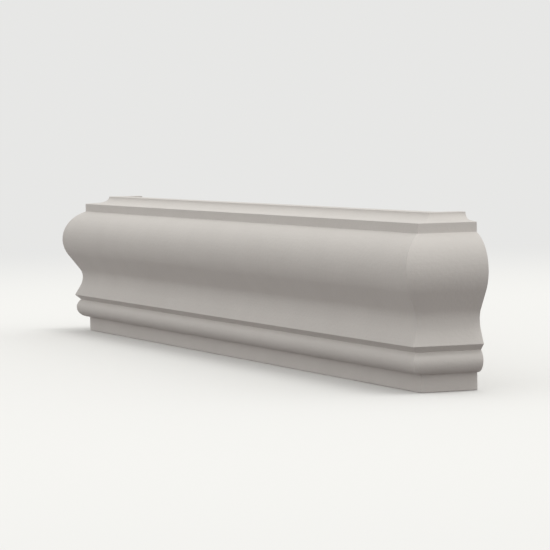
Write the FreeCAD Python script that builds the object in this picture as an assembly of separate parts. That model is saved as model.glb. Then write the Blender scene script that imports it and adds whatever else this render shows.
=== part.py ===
import FreeCAD, Part
import math
import os

# Windowsill cornice moulding: one piece of stock that closes the wall under a window sill.
# A front run carries the moulded section, and a return of the same section is mitred to each end.
# Sizes are in millimetres. X runs along the front, the front faces -Y, the wall is at +Y, Z is up.
# The origin is the middle of the footprint, on the level that the base stands on.
# The face of the fillet, the narrow upright band under the ledge, is the datum of the section.

# Plan, measured from the face of the fillet
face_length = 864.0
return_reach = 55.0
stock_depth = 35.4

# Projection of each member in front of the face of the fillet
bulge_projection = 21.1
neck_projection = 3.7
lip_projection = 10.8
quirk_projection = 5.5
torus_projection = 9.6

# Members that lie behind the face of the fillet
plinth_setback = 2.1
ledge_depth = 10.5
top_setback = 21.0

# Heights, stacked from the base
plinth_height = 15.1
undercut_height = 5.2
fillet_height = 8.6
ledge_rise = 1.0
cavetto_height = 7.1

# Curves
torus_soffit = 1.1
torus_upper_radius = 11.3
splay_radius = 24.6
neck_radius = 16.3
bulge_radius = 33.6

# Slopes of the two straight flanks, in degrees from upright
splay_angle = 25.0
ogee_angle = 32.5

# Spare length of the cutting shapes beyond the stock
spare = 10.0


def lean(radius, angle):
    """How far an arc that starts upright has moved sideways when it has turned by the angle."""
    return radius * (1.0 - math.cos(math.radians(angle)))


def climb(radius, angle):
    """How far the same arc has risen."""
    return radius * math.sin(math.radians(angle))


def run(offset, angle):
    """How high a straight flank rises while it moves sideways by the offset."""
    return offset / math.tan(math.radians(angle))


def half_chord(radius, offset):
    """Half the chord of a circle at the offset from its centre."""
    return math.sqrt(radius ** 2 - offset ** 2)


# Torus: a quarter round below its nose, and a flatter round from the nose up to the quirk
torus_lower_radius = torus_projection + plinth_setback - torus_soffit
nose_z = plinth_height + torus_lower_radius
quirk_offset = quirk_projection - (torus_projection - torus_upper_radius)
quirk_z = nose_z + half_chord(torus_upper_radius, quirk_offset)

# Lip and splay: the sharp lip over the undercut, then a straight flank that sweeps up to the neck
lip_z = quirk_z + undercut_height
splay_top = neck_projection + lean(splay_radius, splay_angle)
splay_top_z = lip_z + run(lip_projection - splay_top, splay_angle)
neck_z = splay_top_z + climb(splay_radius, splay_angle)

# Ogee: the hollow above the neck, a straight flank, and the bulge up to the fillet
ogee_foot = neck_projection + lean(neck_radius, ogee_angle)
ogee_foot_z = neck_z + climb(neck_radius, ogee_angle)
ogee_head = bulge_projection - lean(bulge_radius, ogee_angle)
ogee_head_z = ogee_foot_z + run(ogee_head - ogee_foot, ogee_angle)
bulge_z = ogee_head_z + climb(bulge_radius, ogee_angle)
crease_z = bulge_z + half_chord(bulge_radius, bulge_radius - bulge_projection)

# Fillet, ledge and cavetto
fillet_top_z = crease_z + fillet_height
ledge_back_z = fillet_top_z + ledge_rise
top_z = ledge_back_z + cavetto_height

# Places in plan
half_face = face_length / 2.0
face_y = (bulge_projection - return_reach) / 2.0
wall_y = face_y + return_reach
front_spare = bulge_projection + spare
back_spare = stock_depth + spare


def arc_middle(centre_p, centre_z, radius, first_angle, last_angle):
    """The point halfway round an arc of the section, for angles counted from straight forward."""
    middle = math.radians((first_angle + last_angle) / 2.0)
    return centre_p + radius * math.cos(middle), centre_z + radius * math.sin(middle)


def section(place):
    """The closed section of the stock as a face. place turns projection and height into a point."""
    edges = []

    def line(start, end):
        edges.append(Part.LineSegment(place(*start), place(*end)).toShape())

    def arc(start, middle, end):
        edges.append(Part.Arc(place(*start), place(*middle), place(*end)).toShape())

    def quarter_ellipse(start, corner, end):
        corner_weight = math.cos(math.radians(45.0))
        curve = Part.BezierCurve()
        curve.setPoles([place(*start), place(*corner), place(*end)])
        curve.setWeight(2, corner_weight)
        edges.append(curve.toShape())

    back_foot = (-stock_depth, 0.0)
    plinth_foot = (-plinth_setback, 0.0)
    plinth_head = (-plinth_setback, plinth_height)
    soffit_edge = (torus_projection - torus_lower_radius, plinth_height)
    nose = (torus_projection, nose_z)
    quirk = (quirk_projection, quirk_z)
    lip = (lip_projection, lip_z)
    splay_end = (splay_top, splay_top_z)
    neck = (neck_projection, neck_z)
    hollow_end = (ogee_foot, ogee_foot_z)
    bulge_start = (ogee_head, ogee_head_z)
    crease = (0.0, crease_z)
    fillet_top = (0.0, fillet_top_z)
    ledge_back = (-ledge_depth, ledge_back_z)
    cavetto_corner = (-top_setback, ledge_back_z)
    top_edge = (-top_setback, top_z)
    back_head = (-stock_depth, top_z)

    quirk_angle = math.degrees(math.atan2(quirk_z - nose_z, quirk_offset))
    crease_angle = math.degrees(math.atan2(crease_z - bulge_z, bulge_radius - bulge_projection))
    lower_centre = torus_projection - torus_lower_radius
    upper_centre = torus_projection - torus_upper_radius
    bulge_centre = bulge_projection - bulge_radius

    line(back_foot, plinth_foot)
    line(plinth_foot, plinth_head)
    line(plinth_head, soffit_edge)
    arc(soffit_edge, arc_middle(lower_centre, nose_z, torus_lower_radius, -90.0, 0.0), nose)
    arc(nose, arc_middle(upper_centre, nose_z, torus_upper_radius, 0.0, quirk_angle), quirk)
    line(quirk, lip)
    line(lip, splay_end)
    splay_centre = neck_projection + splay_radius
    arc(splay_end, arc_middle(splay_centre, neck_z, splay_radius, 180.0 + splay_angle, 180.0), neck)
    hollow_centre = neck_projection + neck_radius
    arc(neck, arc_middle(hollow_centre, neck_z, neck_radius, 180.0, 180.0 - ogee_angle), hollow_end)
    line(hollow_end, bulge_start)
    arc(bulge_start, arc_middle(bulge_centre, bulge_z, bulge_radius, -ogee_angle, crease_angle), crease)
    line(crease, fillet_top)
    line(fillet_top, ledge_back)
    quarter_ellipse(ledge_back, cavetto_corner, top_edge)
    line(top_edge, back_head)
    line(back_head, back_foot)
    return Part.Face(Part.Wire(edges))


def plan_block(corners):
    """An upright block over the plan corners, taller than the stock, that cuts a run to its mitres."""
    points = [FreeCAD.Vector(x, y, -spare) for x, y in corners]
    base = Part.Face(Part.makePolygon(points + points[:1]))
    return base.extrude(FreeCAD.Vector(0.0, 0.0, top_z + 2.0 * spare))


def front_run():
    """The front run, from mitre to mitre."""
    reach = half_face + front_spare
    outline = section(lambda p, z: FreeCAD.Vector(-reach, face_y - p, z))
    bar = outline.extrude(FreeCAD.Vector(2.0 * reach, 0.0, 0.0))
    between_mitres = plan_block([
        (-half_face - front_spare, face_y - front_spare),
        (half_face + front_spare, face_y - front_spare),
        (half_face - back_spare, face_y + back_spare),
        (-half_face + back_spare, face_y + back_spare),
    ])
    return bar.common(between_mitres)


def return_run(side):
    """The return at one end, from its mitre back to the wall. side is -1 for left and 1 for right."""
    start_y = face_y - front_spare
    outline = section(lambda p, z: FreeCAD.Vector(side * (half_face + p), start_y, z))
    bar = outline.extrude(FreeCAD.Vector(0.0, wall_y - start_y, 0.0))
    behind_mitre = plan_block([
        (side * (half_face + front_spare), face_y - front_spare),
        (side * (half_face + front_spare), wall_y + spare),
        (side * (half_face - back_spare), wall_y + spare),
        (side * (half_face - back_spare), face_y + back_spare),
    ])
    return bar.common(behind_mitre)


def cornice_moulding():
    """The whole moulding as one solid: the mitres are closed and leave no seam."""
    joined = front_run().fuse([return_run(-1), return_run(1)])
    return joined.removeSplitter().Solids[0]


os.makedirs("parts", exist_ok=True)
cornice_moulding().exportStep("parts/cornice_moulding.step")
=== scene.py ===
import math

import bpy
from mathutils import Matrix, Vector


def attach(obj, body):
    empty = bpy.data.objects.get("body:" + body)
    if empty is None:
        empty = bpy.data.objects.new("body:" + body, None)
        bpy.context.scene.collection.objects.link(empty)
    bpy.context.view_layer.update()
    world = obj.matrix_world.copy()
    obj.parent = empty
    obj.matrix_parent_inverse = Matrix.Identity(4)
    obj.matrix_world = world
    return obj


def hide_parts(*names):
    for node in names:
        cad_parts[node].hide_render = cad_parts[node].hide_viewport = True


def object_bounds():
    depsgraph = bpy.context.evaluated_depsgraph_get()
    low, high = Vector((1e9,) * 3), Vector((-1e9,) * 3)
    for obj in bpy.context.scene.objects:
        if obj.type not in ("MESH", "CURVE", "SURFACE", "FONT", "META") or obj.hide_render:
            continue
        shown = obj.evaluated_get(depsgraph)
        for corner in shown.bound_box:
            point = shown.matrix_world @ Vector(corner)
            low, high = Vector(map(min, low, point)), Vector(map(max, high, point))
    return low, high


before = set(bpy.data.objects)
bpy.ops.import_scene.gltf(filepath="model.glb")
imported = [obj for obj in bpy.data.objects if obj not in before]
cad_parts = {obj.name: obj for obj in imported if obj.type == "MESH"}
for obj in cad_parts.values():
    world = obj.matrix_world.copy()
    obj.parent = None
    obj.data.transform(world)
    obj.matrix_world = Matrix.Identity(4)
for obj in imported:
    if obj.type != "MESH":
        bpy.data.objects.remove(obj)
cad_low, cad_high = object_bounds()

MM = 0.001
QUARTER_TURN = math.pi / 2.0
HALF_TURN = math.pi

# Section of the stock. Projections are counted forward from the face of the fillet, and setbacks
# and depths back from it.
BULGE_PROJECTION = 21.1 * MM
NECK_PROJECTION = 3.7 * MM
LIP_PROJECTION = 10.8 * MM
QUIRK_PROJECTION = 5.5 * MM
TORUS_PROJECTION = 9.6 * MM
PLINTH_SETBACK = 2.1 * MM
LEDGE_DEPTH = 10.5 * MM
TOP_SETBACK = 21.0 * MM
STOCK_DEPTH = 35.4 * MM

# Heights and curves of the section
PLINTH_HEIGHT = 15.1 * MM
UNDERCUT_HEIGHT = 5.2 * MM
FILLET_HEIGHT = 8.6 * MM
LEDGE_RISE = 1.0 * MM
TORUS_SOFFIT = 1.1 * MM
TORUS_UPPER_RADIUS = 11.3 * MM
SPLAY_RADIUS = 24.6 * MM
NECK_RADIUS = 16.3 * MM
BULGE_RADIUS = 33.6 * MM
SPLAY_ANGLE = math.radians(25.0)
OGEE_ANGLE = math.radians(32.5)

# The plan comes from the frame: the bulge gives the box its front and its two ends.
HALF_FACE = cad_high.x - BULGE_PROJECTION
FACE_Y = cad_low.y + BULGE_PROJECTION
WALL_Y = cad_high.y
TOP_Z = cad_high.z

# Fineness of the mesh
ARC_STEP = math.radians(3.0)
FEWEST_ARC_STEPS = 2
FLAT_STEP = 6.0 * MM
RUN_STEP = 12.0 * MM

# The way round the section starts and ends in the middle of the base, with this gap between.
SEAM_GAP = 0.2 * MM

# Points of the section, and shares of the run, that are closer than these count as one.
POINT_TOLERANCE = 0.1 * MM
SHARE_TOLERANCE = 1e-4

# The coating rounds each arris softly, and the mitres less than the arrises along the run.
# An edge of a mitre that bends by less than the flat angle, as on a level face, isn't rounded.
ARRIS_WIDTH = 0.5 * MM
ARRIS_SEGMENTS = 3
ARRIS_ANGLE = math.radians(20.0)
FLAT_ANGLE = math.radians(1.0)
MITRE_SHARE = 0.3

# How far the large faces decide the shading beside a rounded arris, from 1 to 100
LARGE_FACE_WEIGHT = 100

# The mesh keeps under this name, for the coating: the way along the run, the way round the section,
# and 1 on a cut end.
MARKS = "run_girth_cut"

# Coating: a matt mineral coat, a shade deeper in soft clouds and more polished in places.
# A detail is the number of finer layers that a noise has on top of its widest bumps.
COATING_PALE = (0.635, 0.607, 0.579, 1.0)
COATING_DEEP = (0.585, 0.559, 0.533, 1.0)
CLOUD_WIDTH = 50.0 * MM
CLOUD_DETAIL = 4.0
SMOOTHEST = 0.58
ROUGHEST = 0.76
POLISH_WIDTH = 22.0 * MM
POLISH_DETAIL = 2.0
COATING_SPECULAR = 0.3

# Relief of the coating: fine grain, orange peel, lines dragged along the run, and a slow waviness.
# Each height is the noise's full range.
GRAIN_WIDTH = 0.7 * MM
GRAIN_DETAIL = 3.0
GRAIN_HEIGHT = 0.1 * MM
PEEL_WIDTH = 3.5 * MM
PEEL_DETAIL = 1.0
PEEL_HEIGHT = 0.2 * MM
DRAG_LENGTH = 250.0 * MM
DRAG_WIDTH = 1.2 * MM
DRAG_DETAIL = 2.0
DRAG_HEIGHT = 0.05 * MM
WAVE_WIDTH = 90.0 * MM
WAVE_DETAIL = 1.0
WAVE_HEIGHT = 0.5 * MM

# Camera of the photograph. It faces the wall, and turns left by its yaw, down by its tilt and
# clockwise by its roll.
PHOTO_SIZE = 550.0
FOCAL_PIXELS = 2741.3
SENSOR_WIDTH = 36.0
CAMERA_PLACE = Vector((2.4935, -1.0015, 0.2211))
CAMERA_YAW = math.radians(67.47)
CAMERA_TILT = math.radians(3.02)
CAMERA_ROLL = math.radians(0.87)
NEAREST_SEEN = 0.05
FURTHEST_SEEN = 60.0

# Studio. A light level of 1 shows a white face that it meets squarely as white.
# The lamp's azimuth is counted from straight in front round to the right.
STUDIO_WHITE = (1.0, 0.995, 0.975)
SKY_LEVEL = 0.95
KEY_LEVEL = 0.21
KEY_AZIMUTH = math.radians(120.0)
KEY_ELEVATION = math.radians(75.0)
KEY_SOFTNESS = math.radians(25.0)

# Background and floor. A glow of strength 1 shows its colour as it is written. The floor fades into
# the background between two distances from its middle, and lies just under the base.
PALE_SEEN = (0.80, 0.80, 0.79, 1.0)
AS_WRITTEN = 1.0
FLOOR_WARMTH = (1.07, 0.975, 0.955)
FLOOR_LEVEL = 0.215
FLOOR_RADIUS = 9.0
FLOOR_RIM_POINTS = 96
FLOOR_FADE_START = 0.8
FLOOR_FADE_END = 2.6
FLOOR_DROP = 0.3 * MM


def lean(radius, angle):
    """How far an arc that starts upright has moved sideways when it has turned by the angle."""
    return radius * (1.0 - math.cos(angle))


def climb(radius, angle):
    """How far the same arc has risen."""
    return radius * math.sin(angle)


def half_chord(radius, offset):
    """Half the chord of a circle at the offset from its centre."""
    return math.sqrt(radius ** 2 - offset ** 2)


def ellipse_points(centre, radii, first_angle, last_angle):
    """Points round part of an ellipse, both ends included."""
    steps = max(FEWEST_ARC_STEPS, round(abs(last_angle - first_angle) / ARC_STEP))
    angles = [first_angle + (last_angle - first_angle) * i / steps for i in range(steps + 1)]
    return [(centre[0] + radii[0] * math.cos(a), centre[1] + radii[1] * math.sin(a)) for a in angles]


def arc_points(centre, radius, first_angle, last_angle):
    """Points round part of a circle, both ends included."""
    return ellipse_points(centre, (radius, radius), first_angle, last_angle)


def flat_points(start, end):
    """Points along a straight member, both ends included."""
    steps = max(1, round(math.dist(start, end) / FLAT_STEP))
    return [
        (start[0] + (end[0] - start[0]) * i / steps, start[1] + (end[1] - start[1]) * i / steps)
        for i in range(steps + 1)
    ]


def section_members():
    """The members of the section, from the base round to the base, as points of projection and height."""
    torus_lower_radius = TORUS_PROJECTION + PLINTH_SETBACK - TORUS_SOFFIT
    nose_z = PLINTH_HEIGHT + torus_lower_radius
    lower_centre = TORUS_PROJECTION - torus_lower_radius
    upper_centre = TORUS_PROJECTION - TORUS_UPPER_RADIUS
    quirk_z = nose_z + half_chord(TORUS_UPPER_RADIUS, QUIRK_PROJECTION - upper_centre)
    quirk_angle = math.atan2(quirk_z - nose_z, QUIRK_PROJECTION - upper_centre)

    lip_z = quirk_z + UNDERCUT_HEIGHT
    splay_top = NECK_PROJECTION + lean(SPLAY_RADIUS, SPLAY_ANGLE)
    splay_top_z = lip_z + (LIP_PROJECTION - splay_top) / math.tan(SPLAY_ANGLE)
    splay_centre = NECK_PROJECTION + SPLAY_RADIUS
    neck_z = splay_top_z + climb(SPLAY_RADIUS, SPLAY_ANGLE)

    hollow_centre = NECK_PROJECTION + NECK_RADIUS
    ogee_foot = NECK_PROJECTION + lean(NECK_RADIUS, OGEE_ANGLE)
    ogee_foot_z = neck_z + climb(NECK_RADIUS, OGEE_ANGLE)
    ogee_head = BULGE_PROJECTION - lean(BULGE_RADIUS, OGEE_ANGLE)
    ogee_head_z = ogee_foot_z + (ogee_head - ogee_foot) / math.tan(OGEE_ANGLE)
    bulge_z = ogee_head_z + climb(BULGE_RADIUS, OGEE_ANGLE)
    bulge_centre = BULGE_PROJECTION - BULGE_RADIUS
    crease_z = bulge_z + half_chord(BULGE_RADIUS, -bulge_centre)
    crease_angle = math.atan2(crease_z - bulge_z, -bulge_centre)

    fillet_top_z = crease_z + FILLET_HEIGHT
    ledge_back_z = fillet_top_z + LEDGE_RISE
    cavetto_radii = (TOP_SETBACK - LEDGE_DEPTH, TOP_Z - ledge_back_z)
    base_middle = -(PLINTH_SETBACK + STOCK_DEPTH) / 2.0

    return [
        flat_points((base_middle + SEAM_GAP, 0.0), (-PLINTH_SETBACK, 0.0)),
        flat_points((-PLINTH_SETBACK, 0.0), (-PLINTH_SETBACK, PLINTH_HEIGHT)),
        arc_points((lower_centre, nose_z), torus_lower_radius, -QUARTER_TURN, 0.0),
        arc_points((upper_centre, nose_z), TORUS_UPPER_RADIUS, 0.0, quirk_angle),
        flat_points((QUIRK_PROJECTION, quirk_z), (LIP_PROJECTION, lip_z)),
        flat_points((LIP_PROJECTION, lip_z), (splay_top, splay_top_z)),
        arc_points((splay_centre, neck_z), SPLAY_RADIUS, HALF_TURN + SPLAY_ANGLE, HALF_TURN),
        arc_points((hollow_centre, neck_z), NECK_RADIUS, HALF_TURN, HALF_TURN - OGEE_ANGLE),
        flat_points((ogee_foot, ogee_foot_z), (ogee_head, ogee_head_z)),
        arc_points((bulge_centre, bulge_z), BULGE_RADIUS, -OGEE_ANGLE, 0.0),
        arc_points((bulge_centre, bulge_z), BULGE_RADIUS, 0.0, crease_angle),
        flat_points((0.0, crease_z), (0.0, fillet_top_z)),
        flat_points((0.0, fillet_top_z), (-LEDGE_DEPTH, ledge_back_z)),
        ellipse_points((-LEDGE_DEPTH, TOP_Z), cavetto_radii, -QUARTER_TURN, -HALF_TURN),
        flat_points((-TOP_SETBACK, TOP_Z), (-STOCK_DEPTH, TOP_Z)),
        flat_points((-STOCK_DEPTH, TOP_Z), (-STOCK_DEPTH, 0.0)),
        flat_points((-STOCK_DEPTH, 0.0), (base_middle, 0.0)),
    ]


def section_outline():
    """The closed section as one list of points, where members that meet share a point."""
    outline = []
    for member in section_members():
        for point in member:
            if not outline or math.dist(point, outline[-1]) > POINT_TOLERANCE:
                outline.append(point)
    return outline


class Nodes:
    """A node tree under construction, with short calls for the nodes that it uses."""

    def __init__(self, tree):
        self.tree = tree

    def node(self, kind, inputs=None, **settings):
        """Adds a node. inputs maps a socket's name or number to a value or to another node's socket."""
        made = self.tree.nodes.new(kind)
        for name, value in settings.items():
            setattr(made, name, value)
        for name, value in (inputs or {}).items():
            if isinstance(value, bpy.types.NodeSocket):
                self.tree.links.new(value, made.inputs[name])
            else:
                made.inputs[name].default_value = value
        return made

    def reckon(self, operation, first, second=0.0, third=0.0, clamp=False):
        """A step of arithmetic on numbers or sockets."""
        inputs = {0: first, 1: second, 2: third}
        return self.node("ShaderNodeMath", inputs, operation=operation, use_clamp=clamp).outputs[0]

    def apart(self, vector):
        """The three numbers of a vector."""
        return self.node("ShaderNodeSeparateXYZ", {0: vector}).outputs[:]

    def together(self, x, y, z=0.0):
        """A vector of three numbers."""
        return self.node("ShaderNodeCombineXYZ", {0: x, 1: y, 2: z}).outputs[0]


class Build(Nodes):
    """A geometry tree with named inputs."""

    def __init__(self, name):
        super().__init__(bpy.data.node_groups.new(name, "GeometryNodeTree"))
        self.tree.interface.new_socket("Geometry", in_out="INPUT", socket_type="NodeSocketGeometry")
        self.tree.interface.new_socket("Geometry", in_out="OUTPUT", socket_type="NodeSocketGeometry")
        self.identifiers = {}
        self.entry = self.node("NodeGroupInput")
        self.exit = self.node("NodeGroupOutput")

    def named_input(self, name, kind="NodeSocketFloat"):
        """Adds a named input and returns its socket."""
        item = self.tree.interface.new_socket(name, in_out="INPUT", socket_type=kind)
        self.identifiers[name] = item.identifier
        return self.entry.outputs[name]

    def keep(self, geometry, vector):
        """Keeps a vector on the points of the geometry. Returns the geometry and the kept vector."""
        made = self.node("GeometryNodeCaptureAttribute", {"Geometry": geometry}, domain="POINT")
        made.capture_items.new("VECTOR", "Kept")
        self.tree.links.new(vector, made.inputs[1])
        return made.outputs[0], made.outputs[1]

    def store(self, geometry, name, kind, domain, value):
        """Stores a value on the geometry under a name."""
        inputs = {"Geometry": geometry, "Name": name, "Value": value}
        return self.node("GeometryNodeStoreNamedAttribute", inputs, data_type=kind, domain=domain).outputs[0]


def kept_section(build):
    """The section as a closed curve, with its projection, its height and the way round it."""
    outline = build.node("GeometryNodeMeshToCurve", {"Mesh": build.entry.outputs["Geometry"]}).outputs[0]
    projection, height, _ = build.apart(build.node("GeometryNodeInputPosition").outputs[0])
    way_round = build.node("GeometryNodeSplineParameter").outputs["Length"]
    section, kept = build.keep(outline, build.together(projection, height, way_round))
    return section, build.apart(kept)


def kept_path(build, front_steps, return_steps):
    """A line with one point for each station: left return, front run, right return.

    Each station keeps how far across the front it is, from -1 at the left corner to 1 at the right
    one, and how far towards the wall, from 0 at a corner to 1 at the end of a return.
    """
    both_returns = build.reckon("MULTIPLY", return_steps, 2.0)
    station_count = build.reckon("ADD", build.reckon("ADD", both_returns, front_steps), 1.0)
    line = build.node("GeometryNodeCurvePrimitiveLine", {"End": (1.0, 0.0, 0.0)}).outputs[0]
    stations = build.node("GeometryNodeResampleCurve", {"Curve": line, "Count": station_count}).outputs[0]
    past_corner = build.reckon("SUBTRACT", build.node("GeometryNodeInputIndex").outputs[0], return_steps)
    share_of_front = build.reckon("DIVIDE", past_corner, front_steps, clamp=True)
    across = build.reckon("MULTIPLY_ADD", share_of_front, 2.0, -1.0)
    beyond_left = build.reckon("MULTIPLY", past_corner, -1.0)
    beyond_right = build.reckon("SUBTRACT", past_corner, front_steps)
    beyond = build.reckon("MAXIMUM", beyond_left, beyond_right)
    towards_wall = build.reckon("DIVIDE", beyond, return_steps, clamp=True)
    path, kept = build.keep(stations, build.together(across, towards_wall))
    kept_across, kept_towards_wall, _ = build.apart(kept)
    return path, kept_across, kept_towards_wall


def edge_softness(build, across, towards_wall):
    """How much of the arris width each edge of the skin gets."""
    arris_angle = build.named_input("Arris Angle")
    flat_angle = build.named_input("Flat Angle")
    mitre_share = build.named_input("Mitre Share")
    angle = build.node("GeometryNodeInputMeshEdgeAngle").outputs["Unsigned Angle"]
    crisp = build.reckon("GREATER_THAN", angle, arris_angle)
    at_corner = build.reckon("COMPARE", build.reckon("ABSOLUTE", across), 1.0, SHARE_TOLERANCE)
    before_return = build.reckon("LESS_THAN", towards_wall, SHARE_TOLERANCE)
    on_mitre = build.reckon("MULTIPLY", at_corner, before_return)
    bent_mitre = build.reckon("MULTIPLY", mitre_share, build.reckon("GREATER_THAN", angle, flat_angle))
    mitre_softness = build.reckon("MULTIPLY", bent_mitre, build.reckon("DIVIDE", angle, QUARTER_TURN))
    along_softness = build.reckon("MULTIPLY", crisp, build.reckon("SUBTRACT", 1.0, on_mitre))
    return build.reckon("MULTIPLY_ADD", on_mitre, mitre_softness, along_softness)


def sweep_build():
    """Sweeps the section round the front run and its two returns, with true mitres at the corners."""
    build = Build("sweep_with_mitred_returns")
    half_face = build.named_input("Half Face")
    face_y = build.named_input("Face Y")
    wall_y = build.named_input("Wall Y")
    front_steps = build.named_input("Front Steps", "NodeSocketInt")
    return_steps = build.named_input("Return Steps", "NodeSocketInt")
    coating = build.named_input("Coating", "NodeSocketMaterial")

    # The straight skin
    section, (projection, height, girth) = kept_section(build)
    path, across, towards_wall = kept_path(build, front_steps, return_steps)
    skin = build.node(
        "GeometryNodeCurveToMesh", {"Curve": path, "Profile Curve": section, "Fill Caps": True}
    ).outputs[0]

    # Bent into plan: each point of a ring slides out by its projection, which cuts the mitre
    ring_x = build.reckon("MULTIPLY", across, build.reckon("ADD", half_face, projection))
    front_y = build.reckon("SUBTRACT", face_y, projection)
    way_back = build.reckon("MULTIPLY", build.reckon("SUBTRACT", wall_y, front_y), towards_wall)
    bent = build.together(ring_x, build.reckon("ADD", front_y, way_back), height)
    skin = build.node("GeometryNodeSetPosition", {"Geometry": skin, "Position": bent}).outputs[0]
    skin = build.node("GeometryNodeFlipFaces", {"Mesh": skin}).outputs[0]

    # What the rounding of the arrises and the coating need to know
    softness = edge_softness(build, across, towards_wall)
    skin = build.store(skin, "bevel_weight_edge", "FLOAT", "EDGE", softness)
    along = build.reckon("MULTIPLY_ADD", across, way_back, ring_x)
    face_share = build.node("GeometryNodeFieldOnDomain", {"Value": towards_wall}, domain="FACE").outputs[0]
    cut_end = build.reckon("GREATER_THAN", face_share, 1.0 - SHARE_TOLERANCE)
    skin = build.store(skin, MARKS, "FLOAT_VECTOR", "CORNER", build.together(along, girth, cut_end))

    skin = build.node("GeometryNodeRealizeInstances", {"Geometry": skin}).outputs[0]
    skin = build.node("GeometryNodeSetMaterial", {"Geometry": skin, "Material": coating}).outputs[0]
    build.tree.links.new(skin, build.exit.inputs["Geometry"])
    return build


def moulding_mesh(coating):
    """The swept moulding as a plain mesh, with sharp arrises."""
    outline = section_outline()
    section = bpy.data.meshes.new("moulding_section")
    joins = [(i, (i + 1) % len(outline)) for i in range(len(outline))]
    section.from_pydata([(p, z, 0.0) for p, z in outline], joins, [])
    source = bpy.data.objects.new("moulding_source", section)
    bpy.context.scene.collection.objects.link(source)

    build = sweep_build()
    sweep = source.modifiers.new("sweep", "NODES")
    sweep.node_group = build.tree
    sizes = {
        "Half Face": HALF_FACE,
        "Face Y": FACE_Y,
        "Wall Y": WALL_Y,
        "Arris Angle": ARRIS_ANGLE,
        "Flat Angle": FLAT_ANGLE,
        "Mitre Share": MITRE_SHARE,
        "Front Steps": round(2.0 * HALF_FACE / RUN_STEP),
        "Return Steps": round((WALL_Y - FACE_Y) / RUN_STEP),
        "Coating": coating,
    }
    for name, value in sizes.items():
        sweep[build.identifiers[name]] = value

    mesh = bpy.data.meshes.new_from_object(source.evaluated_get(bpy.context.evaluated_depsgraph_get()))
    bpy.data.objects.remove(source)
    mesh.name = "moulding"
    mesh.shade_smooth()
    return mesh


def moulding_piece(coating):
    """The whole moulding as one closed piece with softly rounded arrises."""
    piece = bpy.data.objects.new("moulding", moulding_mesh(coating))
    bpy.context.scene.collection.objects.link(piece)
    arris = piece.modifiers.new("soft_arrises", "BEVEL")
    arris.width = ARRIS_WIDTH
    arris.segments = ARRIS_SEGMENTS
    arris.limit_method = "WEIGHT"
    even = piece.modifiers.new("even_shading", "WEIGHTED_NORMAL")
    even.weight = LARGE_FACE_WEIGHT
    return piece


def blank_material(name):
    """A new material, its empty tree, and the socket that its finish goes into."""
    material = bpy.data.materials.new(name)
    material.use_nodes = True
    material.node_tree.nodes.clear()
    nodes = Nodes(material.node_tree)
    return material, nodes, nodes.node("ShaderNodeOutputMaterial").inputs["Surface"]


def ripple(nodes, place, width, detail):
    """Noise from 0 to 1 at each place, with bumps about as wide as the width."""
    inputs = {"Vector": place, "Scale": 1.0 / width, "Detail": detail}
    return nodes.node("ShaderNodeTexNoise", inputs).outputs[0]


def drag_lines(nodes):
    """Fine lines that the drawing knife leaves along the run. A cut end has none."""
    marks = nodes.node("ShaderNodeAttribute", attribute_name=MARKS).outputs["Vector"]
    along, girth, cut_end = nodes.apart(marks)
    place_in_lines = nodes.together(
        nodes.reckon("DIVIDE", along, DRAG_LENGTH),
        nodes.reckon("DIVIDE", girth, DRAG_WIDTH),
    )
    uncut = nodes.reckon("SUBTRACT", 1.0, cut_end)
    lines = ripple(nodes, place_in_lines, width=1.0, detail=DRAG_DETAIL)
    return nodes.reckon("MULTIPLY", lines, uncut)


def coating_relief(nodes, place):
    """Height of the coating's surface, in metres."""
    wave = ripple(nodes, place, WAVE_WIDTH, WAVE_DETAIL)
    peel = ripple(nodes, place, PEEL_WIDTH, PEEL_DETAIL)
    grain = ripple(nodes, place, GRAIN_WIDTH, GRAIN_DETAIL)
    height = nodes.reckon("MULTIPLY", wave, WAVE_HEIGHT)
    height = nodes.reckon("MULTIPLY_ADD", peel, PEEL_HEIGHT, height)
    height = nodes.reckon("MULTIPLY_ADD", grain, GRAIN_HEIGHT, height)
    return nodes.reckon("MULTIPLY_ADD", drag_lines(nodes), DRAG_HEIGHT, height)


def coating_material():
    """Matt off-white mineral coat, drawn along the stock, with fine grain."""
    material, nodes, surface = blank_material("matt_coating")
    place = nodes.node("ShaderNodeTexCoord").outputs["Object"]
    clouds = ripple(nodes, place, CLOUD_WIDTH, CLOUD_DETAIL)
    polish = ripple(nodes, place, POLISH_WIDTH, POLISH_DETAIL)
    colour = nodes.node(
        "ShaderNodeMix", {"Factor": clouds, "A": COATING_DEEP, "B": COATING_PALE}, data_type="RGBA"
    )
    roughness = nodes.node(
        "ShaderNodeMapRange", {"Value": polish, "To Min": SMOOTHEST, "To Max": ROUGHEST}
    ).outputs["Result"]
    # The relief is in metres already, so the bump takes it once
    relief = nodes.node("ShaderNodeBump", {"Height": coating_relief(nodes, place), "Distance": 1.0})
    shader = nodes.node(
        "ShaderNodeBsdfPrincipled",
        {
            "Base Color": colour.outputs["Result"],
            "Roughness": roughness,
            "Specular IOR Level": COATING_SPECULAR,
            "Normal": relief.outputs[0],
        },
    )
    nodes.tree.links.new(shader.outputs[0], surface)
    return material


def seen_directly(nodes):
    """1 for the rays that show a surface to the eye: from the camera, a reflection or through glass."""
    ray = nodes.node("ShaderNodeLightPath").outputs
    mirrored = nodes.reckon("MAXIMUM", ray["Is Camera Ray"], ray["Is Glossy Ray"])
    return nodes.reckon("MAXIMUM", mirrored, ray["Is Transmission Ray"])


def glow(nodes, colour, strength):
    """An even light of its own."""
    return nodes.node("ShaderNodeEmission", {"Color": colour, "Strength": strength}).outputs[0]


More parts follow.
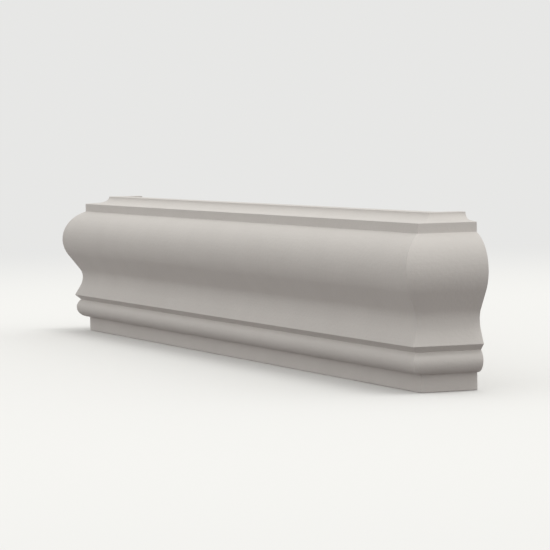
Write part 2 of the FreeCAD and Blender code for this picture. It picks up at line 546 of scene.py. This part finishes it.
def floor_material():
    """Pale floor with its shadow, which fades into the background and throws a warmer light back up."""
    material, nodes, surface = blank_material("studio_floor")
    matt = nodes.node("ShaderNodeBsdfDiffuse", {"Color": PALE_SEEN}).outputs[0]
    place = nodes.node("ShaderNodeTexCoord").outputs["Object"]
    distance = nodes.node("ShaderNodeVectorMath", {0: place}, operation="LENGTH").outputs["Value"]
    fade = nodes.node(
        "ShaderNodeMapRange",
        {"Value": distance, "From Min": FLOOR_FADE_START, "From Max": FLOOR_FADE_END},
        interpolation_type="SMOOTHSTEP",
    ).outputs["Result"]
    background = glow(nodes, PALE_SEEN, AS_WRITTEN)
    shown = nodes.node("ShaderNodeMixShader", {0: fade, 1: matt, 2: background}).outputs[0]
    thrown = glow(nodes, (*FLOOR_WARMTH, 1.0), FLOOR_LEVEL)
    both = nodes.node("ShaderNodeMixShader", {0: seen_directly(nodes), 1: thrown, 2: shown}).outputs[0]
    nodes.tree.links.new(both, surface)
    return material


def make_floor():
    """A round floor under the piece."""
    turns = [math.tau * i / FLOOR_RIM_POINTS for i in range(FLOOR_RIM_POINTS)]
    rim = [(FLOOR_RADIUS * math.cos(turn), FLOOR_RADIUS * math.sin(turn), -FLOOR_DROP) for turn in turns]
    mesh = bpy.data.meshes.new("studio_floor")
    mesh.from_pydata(rim, [], [range(FLOOR_RIM_POINTS)])
    mesh.materials.append(floor_material())
    floor = bpy.data.objects.new("studio_floor", mesh)
    bpy.context.scene.collection.objects.link(floor)


def make_sky():
    """Soft even light from all round, and a plain pale background."""
    world = bpy.data.worlds.new("studio_sky")
    bpy.context.scene.world = world
    world.use_nodes = True
    world.node_tree.nodes.clear()
    nodes = Nodes(world.node_tree)
    light = nodes.node("ShaderNodeBackground", {"Color": (*STUDIO_WHITE, 1.0), "Strength": SKY_LEVEL})
    pale = nodes.node("ShaderNodeBackground", {"Color": PALE_SEEN, "Strength": AS_WRITTEN})
    choose = nodes.node(
        "ShaderNodeMixShader", {0: seen_directly(nodes), 1: light.outputs[0], 2: pale.outputs[0]}
    )
    nodes.node("ShaderNodeOutputWorld", {"Surface": choose.outputs[0]})


def make_key_lamp():
    """A soft lamp high up, a little to the right of the piece and behind it."""
    lamp = bpy.data.lights.new("key_lamp", "SUN")
    # A sun lamp lights a face as a level of 1 does at a strength of pi
    lamp.energy = KEY_LEVEL * math.pi
    lamp.angle = KEY_SOFTNESS
    lamp.color = STUDIO_WHITE
    holder = bpy.data.objects.new("key_lamp", lamp)
    level_reach = math.cos(KEY_ELEVATION)
    towards_lamp = Vector((
        level_reach * math.sin(KEY_AZIMUTH),
        -level_reach * math.cos(KEY_AZIMUTH),
        math.sin(KEY_ELEVATION),
    ))
    holder.rotation_euler = towards_lamp.to_track_quat("Z", "Y").to_euler()
    bpy.context.scene.collection.objects.link(holder)


def make_camera():
    """The camera at the photograph's place, angle and focal length."""
    lens = bpy.data.cameras.new("photo_camera")
    lens.sensor_width = SENSOR_WIDTH
    lens.lens = FOCAL_PIXELS * SENSOR_WIDTH / PHOTO_SIZE
    lens.clip_start = NEAREST_SEEN
    lens.clip_end = FURTHEST_SEEN
    camera = bpy.data.objects.new("photo_camera", lens)
    turn = Matrix.Rotation(CAMERA_YAW, 4, "Z")
    tilt = Matrix.Rotation(QUARTER_TURN - CAMERA_TILT, 4, "X")
    roll = Matrix.Rotation(-CAMERA_ROLL, 4, "Z")
    camera.matrix_world = Matrix.Translation(CAMERA_PLACE) @ turn @ tilt @ roll
    bpy.context.scene.collection.objects.link(camera)
    bpy.context.scene.camera = camera


bpy.context.scene.view_settings.view_transform = "Standard"
make_camera()
make_sky()
make_key_lamp()
make_floor()

moulding = moulding_piece(coating_material())
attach(moulding, "root")
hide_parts("cornice_moulding")
